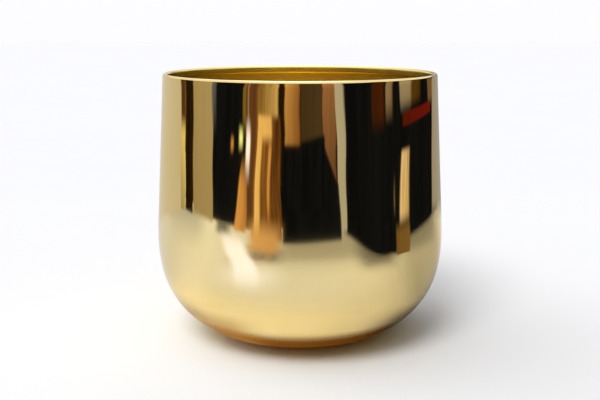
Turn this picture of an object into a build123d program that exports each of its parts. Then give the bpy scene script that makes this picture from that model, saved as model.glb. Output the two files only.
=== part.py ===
from build123d import *
from math import acos, atan2, degrees, radians, sin
import os

# A polished round cachepot: one bowl spun from sheet metal, with a base pressed up in the middle
# and a rim rolled inwards, standing on small rubber pads.
# Lengths are in millimetres. The origin is on the standing surface, under the middle of the base,
# with +Z up the pot's axis.

# Outer form of the bowl, heights from the standing surface
pot_height = 128.5
belly_diameter = 140.0
belly_height = 50.3
belly_curve_radius = 81.0
rim_diameter = 131.6
base_diameter = 55.2

# Sheet metal and the flattened roll along the rim, which hangs down inside the wall
sheet = 0.7
roll_bore = 0.8
roll_height = 4.2
roll_gap = 0.3

# Recess pressed up into the middle of the base
recess_depth = 1.5
recess_bend_radius = 3.0

# Rubber pads under the flat ring of the base
pad_count = 4
pad_first_angle = 45
pad_diameter = 8.0
pad_thickness = 1.3
pad_margin = 0.5
pad_edge_radius = 0.3

# Places of the ring that stands on the pads, and of the S bend between it and the raised middle
base_height = pad_thickness
base_radius = base_diameter / 2
ring_width = pad_diameter + 2 * pad_margin
pad_circle_radius = base_radius - ring_width / 2
bend_spacing = 2 * recess_bend_radius + sheet
bend_slope = degrees(acos(1 - recess_depth / bend_spacing))
lower_bend_center = Vector(base_radius - ring_width, base_height + recess_bend_radius + sheet)
upper_bend_center = lower_bend_center - Vector(0, bend_spacing).rotate(Axis.Z, -bend_slope)

# The belly arc is upright at its widest point, and the heel arc joins it smoothly to the flat ring
belly_center = Vector(belly_diameter / 2 - belly_curve_radius, belly_height)
belly_rise = belly_height - base_height
heel_reach = base_radius - belly_center.X
heel_radius = (belly_curve_radius**2 - heel_reach**2 - belly_rise**2) / (belly_curve_radius - belly_rise) / 2
heel_center = Vector(base_radius, base_height + heel_radius)
heel_end = -degrees(atan2(belly_center.Y - heel_center.Y, heel_reach))

# The straight wall touches the belly arc below and the roll's crest above
roll_radius = roll_bore / 2 + sheet
crest_center = Vector(rim_diameter / 2 - roll_radius, pot_height - roll_radius)
climb = crest_center - belly_center
climb_angle = degrees(atan2(climb.Y, climb.X))
wall_tilt = climb_angle - degrees(acos((belly_curve_radius - roll_radius) / climb.length))

# An upright band joins the crest to the curl below it, and the curl's tip stops short of the wall
band_height = roll_height - 2 * roll_radius
curl_center = crest_center - Vector(0, band_height)
wall_distance = roll_bore / 2 + band_height * sin(radians(wall_tilt))
tip_angle = 360 + wall_tilt - degrees(acos((wall_distance - roll_gap) / roll_radius))


def on_arc(center, radius, angle):
    return center + Vector(radius, 0).rotate(Axis.Z, angle)


# One face of the sheet from the axis to the roll's tip, as seen in section.
# Depth is how far the face lies inside the outer one.
def draw_face(depth):
    raised_height = base_height + recess_depth + depth
    ring_height = base_height + depth
    Line((0, raised_height), (upper_bend_center.X, raised_height))
    CenterArc(upper_bend_center, recess_bend_radius + depth, 90, -bend_slope)
    CenterArc(lower_bend_center, recess_bend_radius + sheet - depth, -90 - bend_slope, bend_slope)
    Line((lower_bend_center.X, ring_height), (base_radius, ring_height))
    CenterArc(heel_center, heel_radius - depth, -90, 90 + heel_end)
    CenterArc(belly_center, belly_curve_radius - depth, heel_end, wall_tilt - heel_end)
    Line(
        on_arc(belly_center, belly_curve_radius - depth, wall_tilt),
        on_arc(crest_center, roll_radius - depth, wall_tilt),
    )
    CenterArc(crest_center, roll_radius - depth, wall_tilt, 180 - wall_tilt)
    Line(
        on_arc(crest_center, roll_radius - depth, 180),
        on_arc(curl_center, roll_radius - depth, 180),
    )
    CenterArc(curl_center, roll_radius - depth, 180, tip_angle - 180)


def make_shell():
    raised_face = base_height + recess_depth
    with BuildPart() as shell:
        with BuildSketch(Plane.XZ):
            with BuildLine():
                draw_face(0)
                draw_face(sheet)
                Line(on_arc(curl_center, roll_radius, tip_angle), on_arc(curl_center, roll_bore / 2, tip_angle))
                Line((0, raised_face), (0, raised_face + sheet))
            make_face()
        revolve(axis=Axis.Z)
    return shell.part


# A round pad with its top flat on the base and its lower edge rounded
def make_pad(angle):
    center = on_arc(Vector(0, 0), pad_circle_radius, angle)
    pad = Pos(center.X, center.Y) * Cylinder(
        pad_diameter / 2, pad_thickness, align=(Align.CENTER, Align.CENTER, Align.MIN)
    )
    lower_edge = pad.edges().sort_by(Axis.Z)[0]
    return fillet(lower_edge, pad_edge_radius)


os.makedirs("parts", exist_ok=True)
export_step(make_shell(), "parts/outer_shell.step")
for number in range(pad_count):
    pad_angle = pad_first_angle + number * 360 / pad_count
    export_step(make_pad(pad_angle), f"parts/foot_pad_{number + 1}.step")

print(f"heel radius {heel_radius:.2f}, heel ends at {heel_end:.2f}, wall tilt {wall_tilt:.2f}")
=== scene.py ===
from math import acos, atan2, cos, degrees, dist, hypot, pi, radians, sin

import bpy
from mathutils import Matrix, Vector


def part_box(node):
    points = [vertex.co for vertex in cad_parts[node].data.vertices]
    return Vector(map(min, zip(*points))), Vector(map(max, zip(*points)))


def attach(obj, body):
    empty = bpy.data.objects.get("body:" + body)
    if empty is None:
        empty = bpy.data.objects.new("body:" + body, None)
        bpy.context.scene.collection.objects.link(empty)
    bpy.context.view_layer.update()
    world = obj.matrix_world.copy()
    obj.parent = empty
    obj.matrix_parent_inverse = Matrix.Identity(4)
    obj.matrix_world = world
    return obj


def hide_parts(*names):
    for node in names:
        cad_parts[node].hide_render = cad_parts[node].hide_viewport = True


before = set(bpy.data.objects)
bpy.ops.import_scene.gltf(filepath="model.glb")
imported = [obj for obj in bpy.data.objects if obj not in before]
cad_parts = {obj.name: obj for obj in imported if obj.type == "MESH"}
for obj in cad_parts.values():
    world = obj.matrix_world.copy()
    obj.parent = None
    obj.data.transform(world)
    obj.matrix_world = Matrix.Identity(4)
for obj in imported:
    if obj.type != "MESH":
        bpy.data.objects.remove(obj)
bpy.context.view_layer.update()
shellLow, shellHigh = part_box("outer_shell")


# one node, its settings, and its inputs as numbers or as sockets to link from
def addNode(tree, kind, inputs=None, **settings):
    node = tree.nodes.new("ShaderNode" + kind)
    for key, value in settings.items():
        setattr(node, key, value)
    for key, value in (inputs or {}).items():
        if isinstance(value, bpy.types.NodeSocket):
            tree.links.new(value, node.inputs[key])
        else:
            node.inputs[key].default_value = value
    return node


def calc(tree, operation, first, second=0.0):
    return addNode(tree, "Math", {0: first, 1: second}, operation=operation).outputs[0]


def rampTo(tree, value, fromLow, fromHigh, toLow, toHigh, smooth=False):
    kind = "SMOOTHSTEP" if smooth else "LINEAR"
    node = addNode(
        tree,
        "MapRange",
        {"Value": value, 1: fromLow, 2: fromHigh, 3: toLow, 4: toHigh},
        interpolation_type=kind,
    )
    return node.outputs[0]


def addNoise(tree, place, scale, detail):
    return addNode(tree, "TexNoise", {"Vector": place, "Scale": scale, "Detail": detail}).outputs[0]


def mixColor(tree, share, first, second):
    node = addNode(tree, "Mix", data_type="RGBA")
    for socket, value in ((0, share), (6, first), (7, second)):
        if isinstance(value, bpy.types.NodeSocket):
            tree.links.new(value, node.inputs[socket])
        else:
            node.inputs[socket].default_value = value
    return node.outputs[2]


def emptyMaterial(name):
    material = bpy.data.materials.new(name)
    material.use_nodes = True
    material.node_tree.nodes.clear()
    return material, material.node_tree


def tone(red, green, blue):
    return (red, green, blue, 1.0)


# points of a section as (distance from the axis, height)
def arcPoints(center, radius, start, sweep, steps):
    turns = [radians(start + sweep * step / steps) for step in range(steps + 1)]
    return [(center[0] + radius * cos(turn), center[1] + radius * sin(turn)) for turn in turns]


def linePoints(start, end, steps):
    shares = [step / steps for step in range(steps + 1)]
    return [tuple(a + (b - a) * share for a, b in zip(start, end)) for share in shares]


def joinRuns(*runs):
    points = list(runs[0])
    for run in runs[1:]:
        points += run[1:]
    return points


latheForm = {
    "onAxis": 1e-9,  # a point this near the axis lies on it
    "sharpFrom": 40.0,  # degrees between two faces from which their edge stays sharp
}


# turns a section round an upright axis; the section may start and end on the axis
def turnOnLathe(name, section, around, center=(0.0, 0.0), ripple=None):
    lengths = [0.0]
    for before, after in zip(section, section[1:]):
        lengths.append(lengths[-1] + dist(before, after))
    verts, rings = [], []
    for radius, height in section:
        if radius < latheForm["onAxis"]:
            rings.append([len(verts)] * (around + 1))
            verts.append((center[0], center[1], height))
            continue
        first = len(verts)
        rings.append([first + step % around for step in range(around + 1)])
        for step in range(around):
            turn = 2 * pi * step / around
            reach = radius + (ripple(turn, height) if ripple else 0.0)
            verts.append((center[0] + reach * cos(turn), center[1] + reach * sin(turn), height))
    faces, faceCorners = [], []
    for index in range(len(section) - 1):
        low, high = lengths[index] / lengths[-1], lengths[index + 1] / lengths[-1]
        for step in range(around):
            left, right = step / around, (step + 1) / around
            corners = [
                (rings[index][step], (left, low)),
                (rings[index][step + 1], (right, low)),
                (rings[index + 1][step + 1], (right, high)),
                (rings[index + 1][step], (left, high)),
            ]
            kept = [c for place, c in enumerate(corners) if c[0] != corners[place - 1][0]]
            faces.append([vert for vert, spot in kept])
            faceCorners += [spot for vert, spot in kept]
    mesh = bpy.data.meshes.new(name)
    mesh.from_pydata(verts, [], faces)
    unwrap = mesh.uv_layers.new(name="OFBake")
    for loop, spot in zip(unwrap.data, faceCorners):
        loop.uv = spot
    mesh.update()
    mesh.shade_smooth()
    mesh.set_sharp_from_angle(angle=radians(latheForm["sharpFrom"]))
    piece = bpy.data.objects.new(name, mesh)
    bpy.context.scene.collection.objects.link(piece)
    return piece, lengths[-1]


# The bowl, spun from one sheet: metres, heights from the table
bowlForm = {
    "bellyHeight": 0.0503,
    "bellyCurve": 0.081,
    "rimRadius": 0.0658,
    "baseRadius": 0.0276,
    "sheet": 0.0007,
    "rollBore": 0.0008,
    "rollHeight": 0.0042,
    "rollGap": 0.0003,
    "recessDepth": 0.0015,
    "recessBend": 0.003,
    "ringWidth": 0.009,
    "around": 288,
    "steps": {
        "floor": 5,
        "bend": 8,
        "ring": 4,
        "heel": 40,
        "belly": 16,
        "wall": 36,
        "crest": 20,
        "band": 4,
        "curl": 14,
    },
    # slight waves of the wall: how many round the bowl, depth, start, and twist for each metre of height
    "waves": ((3, 0.000020, 0.7, 0.0), (8, 0.000010, 2.1, 35.0), (13, 0.000006, 0.4, -60.0)),
    "toolLines": (0.000004, 0.031),  # low rings left by the spinning roller: depth and spacing
    "waveFrom": (0.012, 0.045),  # the waves fade out towards the base
}


def waveOfSheet(turn, height):
    low, high = bowlForm["waveFrom"]
    share = min(max((height - low) / (high - low), 0.0), 1.0)
    depth, spacing = bowlForm["toolLines"]
    lift = depth * sin(2 * pi * height / spacing + sin(turn))
    for count, size, phase, twist in bowlForm["waves"]:
        lift += size * sin(count * turn + phase + twist * height)
    return lift * share * share * (3 - 2 * share)


def bowlSection():
    form = bowlForm
    sheet = form["sheet"]
    bend = form["recessBend"]
    baseHeight = shellLow.z
    baseRadius = form["baseRadius"]
    bendSpacing = 2 * bend + sheet
    bendSlope = acos(1 - form["recessDepth"] / bendSpacing)
    lowerBend = (baseRadius - form["ringWidth"], baseHeight + bend + sheet)
    upperBend = (lowerBend[0] - bendSpacing * sin(bendSlope), lowerBend[1] - bendSpacing * cos(bendSlope))
    slope = degrees(bendSlope)
    bellyCurve = form["bellyCurve"]
    bellyCenter = (shellHigh.x - bellyCurve, form["bellyHeight"])
    bellyRise = form["bellyHeight"] - baseHeight
    heelReach = baseRadius - bellyCenter[0]
    heelRadius = (bellyCurve**2 - heelReach**2 - bellyRise**2) / (bellyCurve - bellyRise) / 2
    heelCenter = (baseRadius, baseHeight + heelRadius)
    heelEnd = -degrees(atan2(bellyCenter[1] - heelCenter[1], heelReach))
    rollRadius = form["rollBore"] / 2 + sheet
    crestCenter = (form["rimRadius"] - rollRadius, shellHigh.z - rollRadius)
    climb = (crestCenter[0] - bellyCenter[0], crestCenter[1] - bellyCenter[1])
    wallTilt = degrees(atan2(climb[1], climb[0]) - acos((bellyCurve - rollRadius) / hypot(*climb)))
    bandHeight = form["rollHeight"] - 2 * rollRadius
    curlCenter = (crestCenter[0], crestCenter[1] - bandHeight)
    wallDistance = form["rollBore"] / 2 + bandHeight * sin(radians(wallTilt))
    tipAngle = 360 + wallTilt - degrees(acos((wallDistance - form["rollGap"]) / rollRadius))

    def sheetFace(depth):
        raised = baseHeight + form["recessDepth"] + depth
        ring = baseHeight + depth
        steps = form["steps"]
        belly = arcPoints(bellyCenter, bellyCurve - depth, heelEnd, wallTilt - heelEnd, steps["belly"])
        crest = arcPoints(crestCenter, rollRadius - depth, wallTilt, 180 - wallTilt, steps["crest"])
        curl = arcPoints(curlCenter, rollRadius - depth, 180, tipAngle - 180, steps["curl"])
        return joinRuns(
            linePoints((0.0, raised), (upperBend[0], raised), steps["floor"]),
            arcPoints(upperBend, bend + depth, 90, -slope, steps["bend"]),
            arcPoints(lowerBend, bend + sheet - depth, -90 - slope, slope, steps["bend"]),
            linePoints((lowerBend[0], ring), (baseRadius, ring), steps["ring"]),
            arcPoints(heelCenter, heelRadius - depth, -90, 90 + heelEnd, steps["heel"]),
            belly,
            linePoints(belly[-1], crest[0], steps["wall"]),
            crest,
            linePoints(crest[-1], curl[0], steps["band"]),
            curl,
        )

    return sheetFace(0.0), sheetFace(sheet)


# Polished gold-coloured metal: fine lines round the axis, faint haze, dust specks, a satin inside whose
# deeper, darker gold is painted shade
goldFinish = {
    "goldTone": tone(0.93, 0.735, 0.345),
    "deepTone": tone(0.905, 0.70, 0.305),
    # a deeper, darker gold for the inside and the roll: painted shade of the bowl's inside
    "insideShadeTone": tone(0.84, 0.66, 0.15),
    "edgeTone": tone(1.0, 0.97, 0.9),
    "mirrorRoughness": 0.03,
    "insideRoughness": 0.28,
    "rollShare": 0.7,  # how far the roll takes the satin and the painted shade of the inside
    "hazeScale": 28.0,
    "hazeToneShares": (0.35, 0.7),  # from where to where in the haze the tone deepens
    "hazeRoughShares": (0.4, 0.75),
    "hazeRoughness": 0.02,
    "lineSpacing": 0.00035,
    "lineStretch": 30.0,  # how soon a line changes along its length
    "lineShares": (0.35, 0.75),
    "lineRoughness": 0.012,
    "lineDepth": 0.0000003,
    "speckSpacing": 0.011,
    "speckSize": 0.00013,
    "bareShare": 0.7,  # share of the places that stay without a speck
    "speckRoughness": 0.3,
    "speckTone": tone(0.36, 0.25, 0.11),
    "streak": 0.25,
}


def makeGold(sectionLength):
    finish = goldFinish
    material, tree = emptyMaterial("polishedGold")
    place = addNode(tree, "TexCoord").outputs["Object"]
    spot = addNode(tree, "SeparateXYZ", {0: place}).outputs
    along = addNode(tree, "SeparateXYZ", {0: addNode(tree, "UVMap", uv_map="OFBake").outputs[0]}).outputs[1]
    inside = addNode(tree, "Attribute", attribute_name="insideFace").outputs["Fac"]
    lineRow = calc(tree, "MULTIPLY", along, sectionLength / finish["lineSpacing"])
    lineX = calc(tree, "MULTIPLY", spot[0], finish["lineStretch"])
    lineY = calc(tree, "MULTIPLY", spot[1], finish["lineStretch"])
    lineSpot = addNode(tree, "CombineXYZ", {0: lineX, 1: lineY, 2: lineRow}).outputs[0]
    lines = addNoise(tree, lineSpot, 1.0, detail=2.0)
    haze = addNoise(tree, place, finish["hazeScale"], detail=4.0)
    dust = addNode(
        tree,
        "TexVoronoi",
        {"Vector": place, "Scale": 1 / finish["speckSpacing"], "Randomness": 1.0},
    ).outputs
    chosen = addNode(tree, "SeparateColor", {0: dust["Color"]}).outputs[0]
    speckReach = finish["speckSize"] / finish["speckSpacing"]
    speckReach = rampTo(tree, chosen, finish["bareShare"], 1.0, 0.0, speckReach)
    speck = calc(tree, "LESS_THAN", dust["Distance"], speckReach)
    deepened = rampTo(tree, haze, *finish["hazeToneShares"], 0.0, 1.0)
    cleanTone = mixColor(tree, deepened, finish["goldTone"], finish["deepTone"])
    # the inside and the roll take the darker gold of the painted shade
    sheetTone = mixColor(tree, inside, cleanTone, finish["insideShadeTone"])
    goldTone = mixColor(tree, speck, sheetTone, finish["speckTone"])
    hazed = rampTo(tree, haze, *finish["hazeRoughShares"], 0.0, finish["hazeRoughness"])
    lined = rampTo(tree, lines, *finish["lineShares"], 0.0, finish["lineRoughness"])
    ground = rampTo(tree, inside, 0.0, 1.0, finish["mirrorRoughness"], finish["insideRoughness"])
    roughness = calc(tree, "ADD", ground, calc(tree, "ADD", hazed, lined))
    roughness = calc(tree, "ADD", roughness, calc(tree, "MULTIPLY", speck, finish["speckRoughness"]))
    lineBump = {"Height": lines, "Strength": 1.0, "Distance": finish["lineDepth"]}
    bump = addNode(tree, "Bump", lineBump).outputs[0]
    metal = addNode(
        tree,
        "BsdfPrincipled",
        {
            "Base Color": goldTone,
            "Metallic": 1.0,
            "Roughness": roughness,
            "Specular Tint": finish["edgeTone"],
            "Anisotropic": finish["streak"],
            "Normal": bump,
        },
    )
    around = addNode(tree, "Tangent", direction_type="RADIAL", axis="Z")
    tree.links.new(around.outputs[0], metal.inputs["Tangent"])
    addNode(tree, "OutputMaterial", {"Surface": metal.outputs[0]})
    return material


def makeBowl():
    outer, inner = bowlSection()
    bowl, sectionLength = turnOnLathe("spunBowl", outer + inner[::-1], bowlForm["around"], ripple=waveOfSheet)
    sides = bowl.data.attributes.new("insideFace", "FLOAT", "POINT")
    rollMiddle = bowlForm["rimRadius"] - bowlForm["rollBore"] / 2 - bowlForm["sheet"]
    rollFoot = shellHigh.z - bowlForm["rollHeight"]
    rolled = [radius < rollMiddle and height >= rollFoot for radius, height in outer]
    satin = [goldFinish["rollShare"] * isRolled for isRolled in rolled] + [1.0] * len(inner)
    shares = satin[:1]  # on the axis a point of the section is one vertex, elsewhere a ring
    for share in satin[1:-1]:
        shares += [share] * bowlForm["around"]
    sides.data.foreach_set("value", shares + satin[-1:])
    bowl.data.materials.append(makeGold(sectionLength))
    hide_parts("outer_shell")
    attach(bowl, "root")
    print("bowl spun:", len(bowl.data.polygons), "faces, section", round(sectionLength * 1000, 1), "mm")


# Moulded rubber pads with two grip rings underneath
padForm = {
    "count": 4,
    "edgeRound": 0.0003,
    "ringRadii": (0.0013, 0.0026),
    "ringWidth": 0.00035,
    "ringDepth": 0.00018,
    "around": 64,
    "roundSteps": 8,
    "straightSteps": 4,
}
rubberFinish = {
    "darkTone": tone(0.035, 0.033, 0.032),
    "dustyTone": tone(0.075, 0.071, 0.068),
    "roughness": (0.62, 0.82),
    "grainSpacing": 0.0003,
    "grainShares": (0.3, 0.7),
    "grainDepth": 0.00002,
    "grainStrength": 0.6,
    "dustScale": 320.0,
    "dustShares": (0.4, 0.75),
}


def makeRubber():
    finish = rubberFinish
    material, tree = emptyMaterial("mouldedRubber")
    place = addNode(tree, "TexCoord").outputs["Object"]
    grain = addNoise(tree, place, 1 / finish["grainSpacing"], detail=3.0)
    dust = addNoise(tree, place, finish["dustScale"], detail=2.0)
    dusty = rampTo(tree, dust, *finish["dustShares"], 0.0, 1.0)
    grainBump = {"Height": grain, "Strength": finish["grainStrength"], "Distance": finish["grainDepth"]}
    bump = addNode(tree, "Bump", grainBump).outputs[0]
    rubber = addNode(
        tree,
        "BsdfPrincipled",
        {
            "Base Color": mixColor(tree, dusty, finish["darkTone"], finish["dustyTone"]),
            "Roughness": rampTo(tree, grain, *finish["grainShares"], *finish["roughness"]),
            "Normal": bump,
        },
    )
    addNode(tree, "OutputMaterial", {"Surface": rubber.outputs[0]})
    return material


def makePads():
    form = padForm
    rubber = makeRubber()
    for number in range(1, form["count"] + 1):
        low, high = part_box(f"foot_pad_{number}")
        radius = (high.x - low.x) / 2
        center = ((low.x + high.x) / 2, (low.y + high.y) / 2)
        underside = [(0.0, low.z)]
        for ring in form["ringRadii"]:
            half = form["ringWidth"] / 2
            for spot, height in arcPoints((ring, low.z), half, 180, -180, form["roundSteps"]):
                underside.append((spot, low.z + (height - low.z) * form["ringDepth"] / half))
        edge = form["edgeRound"]
        rounded = arcPoints((radius - edge, low.z + edge), edge, -90, 90, form["roundSteps"])
        side = linePoints(rounded[-1], (radius, high.z), form["straightSteps"])
        upper = linePoints((radius, high.z), (0.0, high.z), form["straightSteps"])
        section = underside + joinRuns(rounded, side, upper)
        pad = turnOnLathe(f"footPad{number}", section, form["around"], center)[0]
        pad.data.materials.append(rubber)
        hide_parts(f"foot_pad_{number}")
        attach(pad, "root")
    print("pads moulded:", form["count"])


# The studio: a white table, soft light from above and from the left, and glowing cards that only the polish
# shows, a painted reflection of the room and of shade and light on the table
tableForm = {
    "halfWidth": 6.0,
    "whiteTone": tone(0.93, 0.933, 0.95),
    "greyTone": tone(0.918, 0.921, 0.938),
    "mottleScale": 5.0,
    "mottleShares": (0.3, 0.7),
    "roughness": 0.38,
    "gloss": 0.0,
}
lampForm = {
    "side": -25.0,  # degrees from the front towards +X
    "height": 52.0,  # degrees above the table
    "spread": 26.0,  # degrees across
    "strength": 1.4,
    "skyTone": tone(0.985, 0.985, 1.0),
    "skyFill": 0.96,  # light from above
    "skyLean": 1.0,  # how much brighter it is towards the left
    "leftFill": 2.4,  # light from low on the left
    "leftSide": -110.0,  # degrees from the front towards +X
    "lowFill": 0.03,  # light from low down elsewhere
    "fillHeights": (0.48, 0.66),  # how far up the light from above begins and is full
    "fillSides": (0.8, 0.98),  # how near to its own direction the light from the left begins and is full
}


def makeTable():
    form = tableForm
    half = form["halfWidth"]
    mesh = bpy.data.meshes.new("tableTop")
    corners = [(-half, -half, 0), (half, -half, 0), (half, half, 0), (-half, half, 0)]
    mesh.from_pydata(corners, [], [(0, 1, 2, 3)])
    table = bpy.data.objects.new("tableTop", mesh)
    bpy.context.scene.collection.objects.link(table)
    material, tree = emptyMaterial("whiteTable")
    place = addNode(tree, "TexCoord").outputs["Object"]
    mottle = addNoise(tree, place, form["mottleScale"], detail=3.0)
    mottled = rampTo(tree, mottle, *form["mottleShares"], 0.0, 1.0)
    top = addNode(
        tree,
        "BsdfPrincipled",
        {
            "Base Color": mixColor(tree, mottled, form["whiteTone"], form["greyTone"]),
            "Roughness": form["roughness"],
            "Specular IOR Level": form["gloss"],
        },
    )
    addNode(tree, "OutputMaterial", {"Surface": top.outputs[0]})
    mesh.materials.append(material)


def makeLight():
    form = lampForm
    lamp = bpy.data.lights.new("softOverhead", "SUN")
    lamp.energy = form["strength"]
    lamp.angle = radians(form["spread"])
    holder = bpy.data.objects.new("softOverhead", lamp)
    bpy.context.scene.collection.objects.link(holder)
    holder.rotation_euler = (0.0, radians(90 - form["height"]), radians(form["side"] - 90))
    holder.visible_glossy = False  # the polish shows the overhead box instead
    world = bpy.data.worlds.new("whiteStudio")
    world.use_nodes = True
    tree = world.node_tree
    tree.nodes.clear()
    seen = addNode(tree, "LightPath").outputs
    straight = calc(tree, "LESS_THAN", seen["Diffuse Depth"], 0.5)  # no matt surface on the way
    mirrored = calc(tree, "MAXIMUM", seen["Is Glossy Ray"], seen["Is Transmission Ray"])
    mirrored = calc(tree, "MULTIPLY", mirrored, straight)
    shown = calc(tree, "MAXIMUM", seen["Is Camera Ray"], mirrored)  # the white backdrop, in the polish too
    toSky = addNode(tree, "SeparateXYZ", {0: addNode(tree, "TexCoord").outputs["Generated"]}).outputs
    above = rampTo(tree, toSky[2], *form["fillHeights"], form["lowFill"], form["skyFill"], smooth=True)
    toLeft = calc(tree, "MULTIPLY", toSky[0], -1.0)
    lean = rampTo(tree, toLeft, -1.0, 1.0, 1 - form["skyLean"], 1 + form["skyLean"])
    above = calc(tree, "MULTIPLY", above, lean)
    turn = radians(form["leftSide"])
    leftX = calc(tree, "MULTIPLY", toSky[0], sin(turn))
    leftY = calc(tree, "MULTIPLY", toSky[1], cos(turn))
    toLow = calc(tree, "SUBTRACT", leftX, leftY)
    left = rampTo(tree, toLow, *form["fillSides"], 0.0, form["leftFill"], smooth=True)
    fill = calc(tree, "MAXIMUM", above, left)
    strength = calc(tree, "ADD", calc(tree, "MULTIPLY", fill, calc(tree, "SUBTRACT", 1.0, shown)), shown)
    sky = addNode(tree, "Background", {"Color": form["skyTone"], "Strength": strength})
    addNode(tree, "OutputWorld", {"Surface": sky.outputs[0]})
    bpy.context.scene.world = world


# Card paints: the tone a card glows at, at the first side and at the second, and how streaky it is
cardPaints = {
    "paleGrey": (tone(0.74, 0.75, 0.78), tone(0.60, 0.58, 0.56), 0.0),
    "amber": (tone(0.80, 0.68, 0.40), tone(1.0, 0.86, 0.42), 0.0),
    "umber": (tone(0.08, 0.035, 0.01), tone(0.12, 0.045, 0.01), 0.0),
    "soot": (tone(0.010, 0.006, 0.003), tone(0.026, 0.012, 0.004), 0.6),
    "sand": (tone(0.42, 0.35, 0.23), tone(0.47, 0.40, 0.27), 0.4),
    "slate": (tone(0.16, 0.18, 0.26), tone(0.05, 0.06, 0.10), 0.0),
    "black": (tone(0.004, 0.0045, 0.008), tone(0.007, 0.008, 0.012), 0.8),
    "gold": (tone(0.92, 0.64, 0.30), tone(0.80, 0.52, 0.22), 0.5),
    "ivory": (tone(1.3, 1.35, 2.1), tone(1.25, 1.25, 1.8), 0.0),
    "lemon": (tone(1.05, 1.25, 0.7), tone(1.05, 1.25, 0.7), 0.0),
    "orange": (tone(0.78, 0.43, 0.15), tone(0.50, 0.24, 0.09), 0.5),
    "brown": (tone(0.10, 0.05, 0.03), tone(0.16, 0.06, 0.02), 0.9),
    "chestnut": (tone(0.30, 0.14, 0.04), tone(0.08, 0.03, 0.01), 0.7),
    "honey": (tone(0.20, 0.11, 0.03), tone(0.60, 0.44, 0.21), 0.3),
    "peach": (tone(0.78, 0.49, 0.23), tone(0.62, 0.37, 0.19), 0.0),
    "sienna": (tone(0.78, 0.46, 0.20), tone(0.34, 0.14, 0.05), 0.2),
    "olive": (tone(0.06, 0.04, 0.02), tone(0.07, 0.05, 0.03), 0.8),
    "copper": (tone(0.46, 0.24, 0.14), tone(0.36, 0.18, 0.10), 0.9),
    "linen": (tone(0.47, 0.47, 0.52), tone(0.44, 0.43, 0.46), 0.2),
    "mahogany": (tone(0.04, 0.012, 0.004), tone(0.07, 0.02, 0.006), 0.6),
    "clay": (tone(0.33, 0.24, 0.19), tone(0.19, 0.15, 0.12), 0.2),
    "khaki": (tone(0.45, 0.41, 0.40), tone(0.45, 0.38, 0.33), 0.2),
    "brick": (tone(0.085, 0.010, 0.005), tone(0.16, 0.010, 0.006), 0.2),
    "ochre": (tone(0.17, 0.105, 0.033), tone(0.21, 0.13, 0.05), 0.3),
    "grey": (tone(0.34, 0.33, 0.35), tone(0.42, 0.43, 0.47), 0.0),
    "shade": (tone(0.44, 0.44, 0.46), tone(0.42, 0.42, 0.45), 0.0),
    "glow": (tone(1.2, 1.3, 2.1), tone(1.2, 1.3, 2.1), 0.0),
    "mustard": (tone(0.16, 0.11, 0.02), tone(0.24, 0.17, 0.05), 0.3),
    "tan": (tone(0.95, 0.76, 0.58), tone(0.42, 0.30, 0.18), 0.4),
    "bronze": (tone(0.11, 0.06, 0.012), tone(0.06, 0.03, 0.008), 0.3),
    "paper": (tone(1.0, 1.02, 1.08), tone(1.0, 1.02, 1.08), 0.0),
    "daylight": (tone(2.0, 2.0, 2.2), tone(2.0, 2.0, 2.2), 0.0),
    "skylight": (tone(6.0, 6.0, 6.5), tone(6.0, 6.0, 6.5), 0.0),
    "hazel": (tone(0.17, 0.108, 0.058), tone(0.17, 0.108, 0.058), 0.0),
    "char": (tone(0.05, 0.02, 0.004), tone(0.03, 0.01, 0.002), 0.0),
    "rose": (tone(0.34, 0.20, 0.15), tone(0.34, 0.20, 0.15), 0.0),
    "coolWhite": (tone(0.90, 0.96, 1.18), tone(0.84, 0.90, 1.08), 0.0),
    "cream": (tone(1.0, 0.97, 0.86), tone(0.95, 0.9, 0.75), 0.0),
    "ember": (tone(0.34, 0.13, 0.015), tone(0.03, 0.009, 0.001), 0.0),
    "sepia": (tone(0.40, 0.27, 0.12), tone(0.40, 0.20, 0.03), 0.0),
    "taupe": (tone(0.34, 0.31, 0.30), tone(0.30, 0.25, 0.20), 0.0),
    "caramel": (tone(0.52, 0.32, 0.14), tone(0.52, 0.27, 0.06), 0.0),
}
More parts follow.
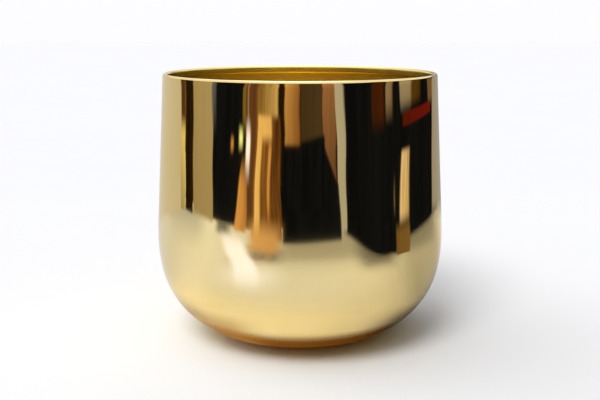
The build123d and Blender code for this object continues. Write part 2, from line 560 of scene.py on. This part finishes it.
# A card runs between two sides, in degrees from the front towards +X, and from a foot to a top,
# each a distance from the pot's axis and a height. It may lean, slant its top, and stand nearer
# or further at its second side. Fades are shares of its width and height: first side, second side,
# foot, top. Cover is how much of what lies behind it a card hides, throws is the same for the light that
# the polish throws on the table, and foot shade is how bright the foot is beside the top.
cardForm = {
    "columns": 24,
    "rows": 16,
    "fadeShares": (0.08, 0.08, 0.02, 0.02),
    "waver": 0.35,  # how far upright edges waver, in degrees
    "waverHeight": 0.075,  # the height of one such wave
    "streaksAcross": 9.0,
    "streakShares": (0.25, 0.75),
}
# Upright cards are a painted reflection of the room; cards lying flat just above the table are painted shade,
# shadow and light on the table, which only the polish shows
studioCards = {
    "darkBacking": {
        "sides": (-103, 122),
        "foot": (1.2, 0),
        "top": (1.2, 0.36),
        "paint": "soot",
        "fade": (0.01, 0.01, 0.01, 0.01),
    },
    "darkFloor": {
        "sides": (-98, 72),
        "foot": (0.6, 0.004),
        "top": (1.2, 0.004),
        "paint": "soot",
        "fade": (0.01, 0.01, 0.01, 0.01),
    },
    "leftBoard": {
        "sides": (-170, -108),
        "foot": (0.185, 0),
        "top": (0.185, 0.22),
        "swing": 2.5,
        "lean": 8,
        "paint": "paleGrey",
        "fade": (0.02, 0.02, 0.05, 0.02),
    },
    "amberStrip": {
        "sides": (-106, -98.5),
        "foot": (0.52, 0),
        "top": (0.52, 0.095),
        "lean": 3,
        "paint": "amber",
        "fade": (0.02, 0.15, 0.03, 0.25),
        "footShade": 0.45,
    },
    "umberStrip": {
        "sides": (-110, -102.5),
        "foot": (0.53, 0.06),
        "top": (0.53, 0.22),
        "lean": 5,
        "paint": "umber",
    },
    "sootPost": {
        "sides": (-103.5, -92),
        "foot": (0.525, 0),
        "top": (0.525, 0.22),
        "lean": 6.5,
        "spread": 0.8,
        "paint": "soot",
    },
    "sandBoard": {
        "sides": (-92.5, -69.5),
        "foot": (0.525, 0),
        "top": (0.525, 0.22),
        "lean": 4.2,
        "spread": 0.87,
        "paint": "sand",
        "fade": (0.03, 0.03, 0.04, 0.02),
        "footShade": 0.85,
    },
    "slateEdge": {
        "sides": (-70, -64.5),
        "foot": (0.515, 0.08),
        "top": (0.515, 0.22),
        "paint": "slate",
        "fade": (0.1, 0.2, 0.4, 0.02),
    },
    "blackLeft": {
        "sides": (-72, -39),
        "foot": (0.55, 0),
        "top": (0.55, 0.22),
        "lean": -3,
        "spread": 0.75,
        "paint": "black",
        "fade": (0.02, 0.02, 0.03, 0.02),
    },
    "leafShade": {
        "sides": (-66, -48),
        "foot": (0.45, 0.003),
        "top": (0.56, 0.003),
        "paint": "black",
        "fade": (0.3, 0.5, 0.5, 0.02),
        "cover": 0.75,
    },
    "goldGlint": {
        "sides": (-53, -49.5),
        "foot": (0.54, 0.072),
        "top": (0.54, 0.096),
        "paint": "orange",
        "fade": (0.4, 0.4, 0.5, 0.5),
    },
    "yellowGlint": {
        "sides": (-46.5, -42),
        "foot": (0.54, 0.076),
        "top": (0.54, 0.108),
        "paint": "lemon",
        "fade": (0.4, 0.4, 0.5, 0.5),
    },
    "mustardStreak": {
        "sides": (-42, -38.5),
        "foot": (0.545, 0.09),
        "top": (0.545, 0.22),
        "lean": -1.5,
        "paint": "mustard",
        "fade": (0.3, 0.3, 0.2, 0.02),
    },
    "roseLine": {
        "sides": (-39, -37.2),
        "foot": (0.542, 0.09),
        "top": (0.542, 0.22),
        "paint": "rose",
        "fade": (0.3, 0.3, 0.2, 0.02),
    },
    # painted highlight: a streak glowing brighter than white in the polish
    "ivoryStreak": {
        "sides": (-40.5, -36),
        "foot": (0.535, 0.045),
        "top": (0.535, 0.118),
        "paint": "ivory",
        "fade": (0.3, 0.35, 0.5, 0.4),
    },
    "orangeStreak": {
        "sides": (-42.5, -37.5),
        "foot": (0.53, 0),
        "top": (0.53, 0.08),
        "lean": -4,
        "spread": 2.4,
        "paint": "orange",
        "fade": (0.15, 0.25, 0.06, 0.45),
    },
    "brownStrip": {"sides": (-41, -29), "foot": (0.56, 0), "top": (0.56, 0.22), "paint": "brown"},
    "honeyBoard": {"sides": (-32, -15), "foot": (0.55, 0.1), "top": (0.55, 0.22), "paint": "honey"},
    "chestnutBoard": {
        "sides": (-32, -13.5),
        "foot": (0.51, 0),
        "top": (0.51, 0.12),
        "lean": -1,
        "spread": 1.3,
        "paint": "chestnut",
        "fade": (0.08, 0.08, 0.05, 0.06),
    },
    "goldHead": {
        "sides": (-31, -19.5),
        "foot": (0.5, 0.088),
        "top": (0.5, 0.12),
        "paint": "gold",
        "fade": (0.1, 0.15, 0.45, 0.2),
    },
    "goldStripe": {
        "sides": (-31, -26.5),
        "foot": (0.495, 0),
        "top": (0.495, 0.11),
        "lean": -2.5,
        "spread": 1.2,
        "paint": "gold",
        "fade": (0.15, 0.3, 0.02, 0.1),
    },
    "goldThread": {
        "sides": (-23, -19.5),
        "foot": (0.495, 0.01),
        "top": (0.495, 0.1),
        "lean": -1.5,
        "spread": 0.7,
        "paint": "orange",
        "fade": (0.4, 0.4, 0.4, 0.2),
    },
    "peachFoot": {
        "sides": (-42, -8),
        "foot": (0.415, 0),
        "top": (0.415, 0.036),
        "spread": 0.85,
        "paint": "peach",
        "fade": (0.3, 0.3, 0.3, 0.6),
    },
    # painted brown shadow on the table below the peach card, seen in the polish
    "brownPool": {
        "sides": (-44, -6),
        "foot": (0.225, 0.003),
        "top": (0.46, 0.003),
        "paint": "chestnut",
        "fade": (0.4, 0.4, 0.6, 0.02),
        "cover": 0.7,
    },
    "siennaBoard": {
        "sides": (-11.8, 0.3),
        "foot": (1.0, 0),
        "top": (1.0, 0.25),
        "paint": "sienna",
        "footShade": 0.45,
    },
    "oliveBoard": {"sides": (-0.2, 17), "foot": (1.02, 0), "top": (1.02, 0.25), "paint": "olive"},
    "copperBoard": {
        "sides": (16.3, 27.5),
        "foot": (1.0, 0),
        "top": (1.0, 0.25),
        "paint": "copper",
        "footShade": 0.3,
    },
    "blackBase": {
        "sides": (-14, 28.5),
        "foot": (0.5, 0),
        "top": (0.5, 0.055),
        "lean": 1.5,
        "paint": "black",
        "fade": (0.02, 0.02, 0.08, 0.02),
    },
    "blackSill": {
        "sides": (-12.4, 1.5),
        "foot": (0.498, 0.03),
        "top": (0.498, 0.094),
        "paint": "black",
        "fade": (0.02, 0.1, 0.1, 0.1),
    },
    "blackFront": {
        "sides": (-0.5, 17.5),
        "foot": (0.496, 0.03),
        "top": (0.496, 0.097),
        "slant": 0.007,
        "paint": "black",
        "fade": (0.1, 0.02, 0.1, 0.1),
    },
    "blackLean": {
        "sides": (14.5, 27),
        "foot": (0.494, 0.03),
        "top": (0.494, 0.103),
        "slant": -0.045,
        "paint": "black",
        "fade": (0.1, 0.02, 0.1, 0.15),
    },
    "linenStripe": {
        "sides": (23.3, 30.8),
        "foot": (0.52, 0),
        "top": (0.52, 0.22),
        "lean": 6.6,
        "spread": 1.25,
        "paint": "linen",
        "fade": (0.05, 0.3, 0.05, 0.02),
    },
    "blackRight": {
        "sides": (31, 60),
        "foot": (0.54, 0),
        "top": (0.54, 0.22),
        "swing": 0.58,
        "paint": "black",
        "fade": (0.02, 0.02, 0.03, 0.02),
    },
    "blackNose": {
        "sides": (56, 73),
        "foot": (0.285, 0),
        "top": (0.285, 0.05),
        "paint": "black",
        "fade": (0.3, 0.12, 0.3, 0.3),
    },
    "noseShade": {
        "sides": (44, 80),
        "foot": (0.21, 0.003),
        "top": (0.42, 0.003),
        "paint": "black",
        "fade": (0.4, 0.3, 0.6, 0.02),
        "cover": 0.75,
    },
    "blackEdge": {
        "sides": (58, 79),
        "foot": (0.35, 0),
        "top": (0.35, 0.22),
        "lean": -2,
        "paint": "black",
        "fade": (0.02, 0.05, 0.03, 0.02),
    },
    "mahoganyStrip": {
        "sides": (53.5, 65.5),
        "foot": (0.3, 0.096),
        "top": (0.3, 0.22),
        "lean": -2.5,
        "paint": "mahogany",
        "fade": (0.1, 0.2, 0.15, 0.02),
    },
    "clayStrip": {
        "sides": (66.5, 74.5),
        "foot": (0.33, 0.1),
        "top": (0.33, 0.2),
        "lean": -3,
        "paint": "clay",
        "fade": (0.2, 0.3, 0.25, 0.02),
    },
    "goldRight": {
        "sides": (77.2, 87.7),
        "foot": (0.29, 0.026),
        "top": (0.29, 0.084),
        "lean": -3.5,
        "spread": 1.15,
        "paint": "tan",
        "fade": (0.2, 0.2, 0.25, 0.1),
    },
    "clayLine": {
        "sides": (69.4, 71.6),
        "foot": (0.285, 0.02),
        "top": (0.285, 0.072),
        "lean": -1,
        "paint": "clay",
        "fade": (0.4, 0.4, 0.2, 0.4),
        "cover": 0.5,
    },
    "ochreFoot": {
        "sides": (69.5, 85),
        "foot": (0.28, 0),
        "top": (0.28, 0.036),
        "paint": "ochre",
        "fade": (0.12, 0.12, 0.08, 0.3),
    },
    "khakiTop": {
        "sides": (76, 93),
        "foot": (0.28, 0.106),
        "top": (0.28, 0.15),
        "lean": -1,
        "spread": 0.8,
        "paint": "khaki",
        "fade": (0.1, 0.2, 0.3, 0.02),
        "footShade": 0.5,
    },
    "bronzeTop": {
        "sides": (92.5, 109),
        "foot": (0.285, 0.108),
        "top": (0.285, 0.2),
        "lean": -4.5,
        "paint": "bronze",
        "fade": (0.1, 0.3, 0.1, 0.02),
    },
    "brickBand": {
        "sides": (79, 120),
        "foot": (0.3, 0.0965),
        "top": (0.3, 0.109),
        "slant": -0.003,
        "paint": "brick",
        "fade": (0.05, 0.04, 0.2, 0.2),
    },
    "hazelEdge": {
        "sides": (116.5, 127),
        "foot": (0.35, 0.097),
        "top": (0.35, 0.13),
        "paint": "hazel",
        "fade": (0.15, 0.05, 0.3, 0.02),
    },
    "blackSide": {
        "sides": (72, 136),
        "foot": (0.385, 0),
        "top": (0.385, 0.22),
        "paint": "black",
        "fade": (0.02, 0.02, 0.03, 0.02),
    },
    "rightBoard": {
        "sides": (134.5, 184),
        "foot": (0.36, 0),
        "top": (0.36, 0.22),
        "swing": 0.6,
        "lean": -16.7,
        "paint": "grey",
        "fade": (0.03, 0.03, 0.1, 0.02),
    },
    "backBoard": {
        "sides": (140, 220),
        "foot": (0.9, 0.25),
        "top": (0.9, 1.2),
        "paint": "paper",
        "fade": (0.3, 0.3, 0.02, 0.02),
    },
    "overheadBox": {
        "sides": (-180, 180),
        "foot": (0.01, 0.9),
        "top": (0.3, 0.9),
        "paint": "daylight",
        "fade": (0.004, 0.004, 0.01, 0.4),
    },
    "backBox": {
        "sides": (150, 216),
        "foot": (1.3, 1.0),
        "top": (0.5, 1.4),
        "paint": "skylight",
        "fade": (0.2, 0.2, 0.1, 0.1),
    },
    # painted cool light on the table, seen in the polish
    "coolTable": {
        "sides": (-160, 62),
        "foot": (0.08, 0.0006),
        "top": (0.56, 0.0006),
        "paint": "coolWhite",
        "fade": (0.1, 0.3, 0.15, 0.02),
        "cover": 0.7,
    },
    "frontGlow": {
        "sides": (-75, 42),
        "foot": (0.053, 0.0008),
        "top": (0.1, 0.0008),
        "paint": "cream",
        "fade": (0.45, 0.4, 0.2, 0.5),
        "cover": 0.7,
    },
    "wideShade": {
        "sides": (-70, 70),
        "foot": (0.06, 0.001),
        "top": (0.6, 0.001),
        "paint": "black",
        "fade": (0.2, 0.2, 0.1, 0.02),
        "cover": 0.1,
    },
    "frontShade": {
        "sides": (-30, 75),
        "foot": (0.15, 0.0015),
        "top": (0.6, 0.0015),
        "paint": "shade",
        "fade": (0.25, 0.3, 0.75, 0.02),
    },
    "rightShade": {
        "sides": (40, 165),
        "foot": (0.045, 0.002),
        "top": (0.6, 0.002),
        "paint": "black",
        "fade": (0.4, 0.4, 0.08, 0.02),
        "cover": 0.5,
        "throws": 0.5,
    },
    "leftShade": {
        "sides": (-175, -70),
        "foot": (0.045, 0.002),
        "top": (0.6, 0.002),
        "paint": "black",
        "fade": (0.1, 0.4, 0.08, 0.02),
        "cover": 0.18,
    },
    # painted warm contact shadow round the base, seen in the polish and in the light it throws
    "warmContact": {
        "sides": (-90, 90),
        "foot": (0.026, 0.0005),
        "top": (0.0595, 0.0005),
        "paint": "ember",
        "fade": (0.2, 0.2, 0.02, 0.36),
        "cover": 0.95,
        "throws": 0.5,
    },
    "farShade": {
        "sides": (75, 130),
        "foot": (0.2, 0.0025),
        "top": (0.42, 0.0025),
        "paint": "black",
        "fade": (0.25, 0.3, 0.9, 0.02),
        "cover": 0.5,
    },
    "farLeftShade": {
        "sides": (-125, -68),
        "foot": (0.3, 0.0025),
        "top": (0.56, 0.0025),
        "paint": "black",
        "fade": (0.25, 0.3, 0.9, 0.02),
        "cover": 0.35,
    },
    # painted dark contact shadow right at the base
    "contactRing": {
        "sides": (-100, 100),
        "foot": (0.024, 0.0007),
        "top": (0.041, 0.0007),
        "paint": "char",
        "fade": (0.2, 0.2, 0.02, 0.35),
        "throws": 0.5,
    },
    # painted warm shade near the base on the left
    "warmLeft": {
        "sides": (-80, -14),
        "foot": (0.03, 0.0011),
        "top": (0.057, 0.0011),
        "paint": "caramel",
        "fade": (0.25, 0.4, 0.3, 0.3),
        "cover": 0.5,
    },
    # painted warm shade under the heel on the left
    "heelLeft": {
        "sides": (-115, -16),
        "foot": (0.05, 0.0012),
        "top": (0.078, 0.0012),
        "paint": "sepia",
        "fade": (0.35, 0.3, 0.15, 0.8),
        "cover": 0.6,
    },
    # painted shade on the table under the bowl on the left
    "leftPool": {
        "sides": (-130, -46),
        "foot": (0.055, 0.00125),
        "top": (0.092, 0.00125),
        "paint": "taupe",
        "fade": (0.3, 0.5, 0.2, 0.8),
        "cover": 0.45,
    },
    # painted shadow on the table under the heel on the right
    "heelRight": {
        "sides": (32, 125),
        "foot": (0.046, 0.0012),
        "top": (0.084, 0.0012),
        "paint": "soot",
        "fade": (0.4, 0.3, 0.1, 0.65),
        "cover": 0.5,
    },
    # painted soft shadow on the table below the black card on the right
    "nosePool": {
        "sides": (34, 73),
        "foot": (0.155, 0.0032),
        "top": (0.5, 0.0032),
        "paint": "soot",
        "fade": (0.35, 0.3, 0.28, 0.02),
        "cover": 0.58,
    },
    "innerGlow": {
        "sides": (-62, -4),
        "foot": (0.11, 0.0033),
        "top": (0.26, 0.0033),
        "paint": "glow",
        "fade": (0.4, 0.4, 0.35, 0.55),
        "cover": 0.4,
    },
    "tableGlow": {
        "sides": (-65, -40),
        "foot": (0.1, 0.0035),
        "top": (0.52, 0.0035),
        "lean": 22,
        "spread": 0.9,
        "paint": "glow",
        "fade": (0.3, 0.3, 0.25, 0.25),
    },
}


def makeCardPaint(name, card):
    first, second, streaks = cardPaints[card["paint"]]
    material, tree = emptyMaterial(name + "Paint")
    spot = addNode(tree, "SeparateXYZ", {0: addNode(tree, "UVMap", uv_map="cardFace").outputs[0]}).outputs
    shares = card.get("fade", cardForm["fadeShares"])
    edges = (spot[0], calc(tree, "SUBTRACT", 1.0, spot[0]), spot[1], calc(tree, "SUBTRACT", 1.0, spot[1]))
    thrown = addNode(tree, "LightPath").outputs["Diffuse Depth"]
    cover = rampTo(tree, thrown, 0.0, 1.0, card.get("cover", 1.0), card.get("throws", 0.0))
    for edge, share in zip(edges, shares):
        cover = calc(tree, "MULTIPLY", rampTo(tree, edge, 0.0, share, 0.0, 1.0, smooth=True), cover)
    # the length of a card's name shifts its streaks, so that few cards share them
    across = calc(tree, "MULTIPLY", spot[0], cardForm["streaksAcross"])
    streakSpot = addNode(tree, "CombineXYZ", {0: across, 1: spot[1], 2: len(name)}).outputs[0]
    streak = addNoise(tree, streakSpot, 1.0, detail=3.0)
    shift = rampTo(tree, streak, *cardForm["streakShares"], -streaks, streaks)
    share = calc(tree, "ADD", spot[0], shift)
    paint = mixColor(tree, share, first, second)
    # the card glows at its paint's tone instead of being lit: painted reflection
    glow = addNode(tree, "Emission", {"Color": paint, "Strength": 1.0})
    if "footShade" in card:
        tree.links.new(rampTo(tree, spot[1], 0.0, 1.0, card["footShade"], 1.0), glow.inputs["Strength"])
    clear = addNode(tree, "BsdfTransparent")
    faded = addNode(tree, "MixShader", {0: cover, 1: clear.outputs[0], 2: glow.outputs[0]})
    addNode(tree, "OutputMaterial", {"Surface": faded.outputs[0]})
    material.cycles.emission_sampling = "NONE"
    return material


def makeCard(name, card):
    columns, rows = cardForm["columns"], cardForm["rows"]
    start, end = card["sides"]
    middle = (start + end) / 2
    verts, spots = [], []
    for row in range(rows + 1):
        rise = row / rows
        low, high = card["foot"], card["top"]
        widen = 1 + (card.get("spread", 1.0) - 1) * (1 - rise)
        for column in range(columns + 1):
            across = column / columns
            height = low[1] + (high[1] + card.get("slant", 0.0) * across - low[1]) * rise
            angle = start + (end - start) * across
            angle = middle + (angle - middle) * widen + card.get("lean", 0.0) * (1 - rise)
            away = (low[0] + (high[0] - low[0]) * rise) * (1 + (card.get("swing", 1.0) - 1) * across)
            turn = radians(angle + cardForm["waver"] * sin(2 * pi * height / cardForm["waverHeight"]))
            verts.append((away * sin(turn), -away * cos(turn), height))
            spots.append((across, rise))
    wide = columns + 1
    firsts = [row * wide + column for row in range(rows) for column in range(columns)]
    faces = [(first, first + 1, first + wide + 1, first + wide) for first in firsts]
    mesh = bpy.data.meshes.new(name)
    mesh.from_pydata(verts, [], faces)
    layer = mesh.uv_layers.new(name="cardFace")
    for loop, corner in zip(layer.data, mesh.loops):
        loop.uv = spots[corner.vertex_index]
    mesh.materials.append(makeCardPaint(name, card))
    board = bpy.data.objects.new(name, mesh)
    bpy.context.scene.collection.objects.link(board)
    board.visible_camera = False
    board.visible_diffuse = False
    board.visible_shadow = False


# The photograph's view: a 54 mm lens just under half a metre off, looking a little down
cameraForm = {
    "place": (0.0, -0.4383, 0.1533),
    "downwards": 11.317,  # degrees below level
    "lens": 54.0,
    "sensor": 36.0,
}


def makeCamera():
    lens = bpy.data.cameras.new("photoView")
    lens.lens = cameraForm["lens"]
    lens.sensor_width = cameraForm["sensor"]
    camera = bpy.data.objects.new("photoView", lens)
    bpy.context.scene.collection.objects.link(camera)
    camera.location = cameraForm["place"]
    camera.rotation_euler = (radians(90 - cameraForm["downwards"]), 0.0, 0.0)
    bpy.context.scene.camera = camera


makeCamera()
print("camera placed")
makeBowl()
makePads()
makeTable()
makeLight()
for cardName, cardValues in studioCards.items():
    makeCard(cardName, cardValues)
print("studio set:", len(studioCards), "cards")
bpy.context.scene.view_settings.view_transform = "Standard"
